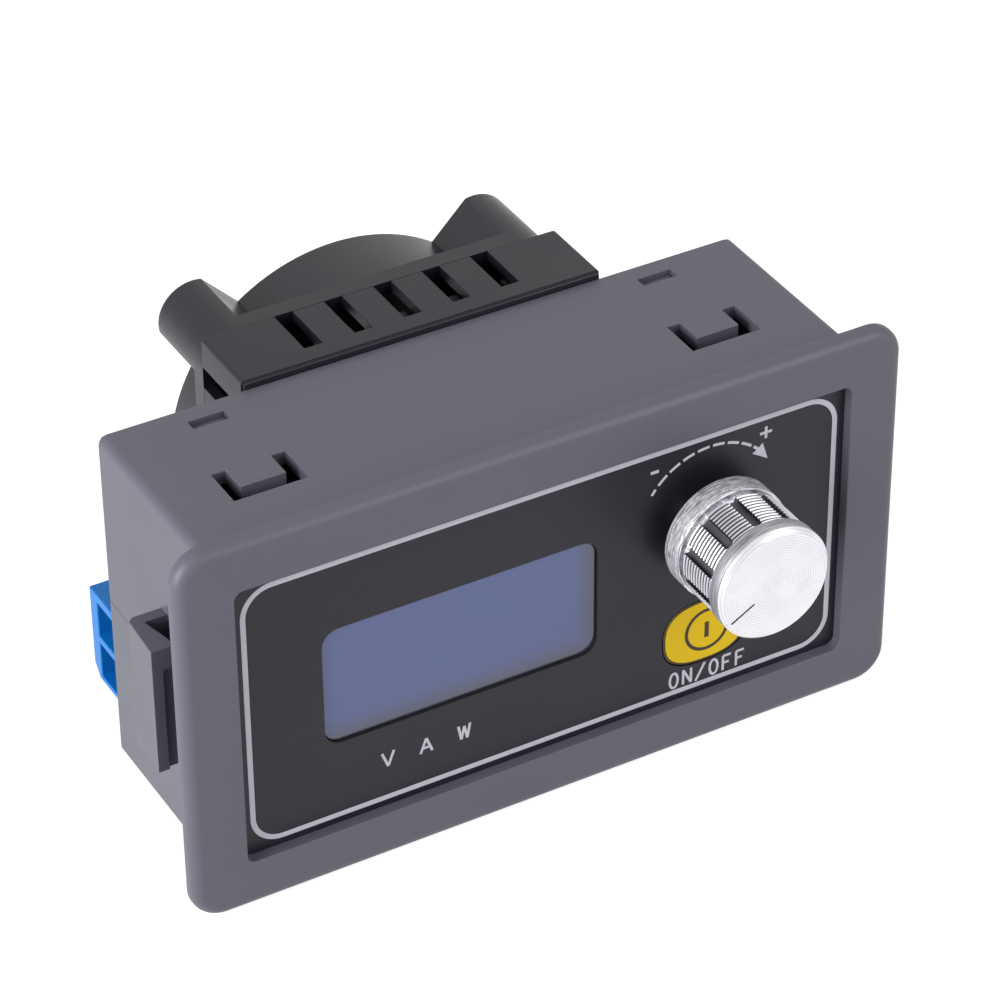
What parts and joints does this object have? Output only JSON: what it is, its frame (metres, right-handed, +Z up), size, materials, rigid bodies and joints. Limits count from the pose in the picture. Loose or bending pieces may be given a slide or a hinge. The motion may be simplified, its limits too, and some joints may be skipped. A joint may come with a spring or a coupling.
{
  "type": "dc electronic load",
  "caption": "Panel-mounting dc electronic load: grey bezel case with display, push-and-turn knob and oval power key, a slotted duct with fan behind and a screw terminal.",
  "frame": {"origin": "centre of the plane where the back of the bezel flange rests on a panel", "axes": "+X to the right seen from the front, +Y to the back, through the panel, +Z up"},
  "size_m": [0.079, 0.0556, 0.043],
  "materials": {
    "case_plastic": "fine moulded texture",
    "black_plastic": "moulded, semi-matte",
    "fan_plastic": "moulded, semi-matte",
    "film": "printed film, satin",
    "key_yellow": "printed key, satin",
    "knob_metal": "turned, bright",
    "plain_metal": "plated",
    "sink_metal": "extruded, black anodised",
    "brass": "plain",
    "copper": "enamelled wire and strip",
    "display": "polarised display glass",
    "light_guide": "diffuse white",
    "board": "solder mask",
    "chip": "moulded",
    "white_plastic": "moulded",
    "terminal_blue": "moulded",
    "magnet": "bonded ferrite"
  },
  "bodies": {
    "housing": {"case": "case_plastic", "rear_cover": "case_plastic", "front_panel": "black_plastic", "overlay_film": "film", "switch_body": "chip", "lcd_glass": "display", "lcd_backlight": "light_guide", "display_board": "board", "encoder_body": "plain_metal", "main_board": "board", "board_header": "chip", "mosfet": "chip", "mosfet_screw": "plain_metal", "shunt_resistor": "copper", "capacitor": "chip", "heatsink": "sink_metal", "heatsink_screws": "plain_metal", "air_duct": "black_plastic", "fan_frame": "fan_plastic", "fan_bearing": "brass", "fan_stator": "copper", "fan_screws": "plain_metal", "terminal_housing": "terminal_blue", "terminal_pins": "brass", "dc_jack_housing": "chip", "dc_jack_contact": "brass"},
    "encoder_slide": {"encoder_plunger": "white_plastic"},
    "knob": {"encoder_shaft": "plain_metal", "knob_insert": "chip", "knob_cap": "knob_metal"},
    "power_key": {"on_off_key": "key_yellow", "switch_plunger": "white_plastic"},
    "fan_impeller": {"fan_rotor": "fan_plastic", "fan_magnet": "magnet", "fan_shaft": "plain_metal"},
    "screw_upper": {"terminal_screw_upper": "plain_metal"},
    "screw_lower": {"terminal_screw_lower": "plain_metal"},
    "clamp_upper": {"terminal_cage_upper": "plain_metal"},
    "clamp_lower": {"terminal_cage_lower": "plain_metal"}
  },
  "joints": [
    {"name": "knob_push", "type": "slide", "parent": "housing", "child": "encoder_slide", "axis": [0, 1, 0], "range_m": [0, 0.0005], "stiffness_N_per_m": 5000},
    {"name": "knob_turn", "type": "hinge", "parent": "encoder_slide", "child": "knob", "pos_m": [0.0181, -0.004, 0.0049], "axis": [0, 1, 0], "continuous": true},
    {"name": "key_press", "type": "slide", "parent": "housing", "child": "power_key", "axis": [0, 1, 0], "range_m": [0, 0.00025], "stiffness_N_per_m": 5000},
    {"name": "fan_spin", "type": "hinge", "parent": "housing", "child": "fan_impeller", "pos_m": [0, 0.0375, 0], "axis": [0, 1, 0], "continuous": true},
    {"name": "screw_upper_turn", "type": "hinge", "parent": "housing", "child": "screw_upper", "pos_m": [-0.0283, 0.0325, -0.00909], "axis": [0, -1, 0], "range_deg": [0, 1080]},
    {"name": "clamp_upper_rise", "type": "slide", "parent": "housing", "child": "clamp_upper", "axis": [0, 1, 0], "range_m": [0, 0.0015]},
    {"name": "screw_lower_turn", "type": "hinge", "parent": "housing", "child": "screw_lower", "pos_m": [-0.0283, 0.0325, -0.01417], "axis": [0, -1, 0], "range_deg": [0, 1080]},
    {"name": "clamp_lower_rise", "type": "slide", "parent": "housing", "child": "clamp_lower", "axis": [0, 1, 0], "range_m": [0, 0.0015]}
  ],
  "couplings": [
    {"joint": "screw_upper_turn", "follows": "clamp_upper_rise", "rad_per_m": 12566},
    {"joint": "screw_lower_turn", "follows": "clamp_lower_rise", "rad_per_m": 12566}
  ]
}
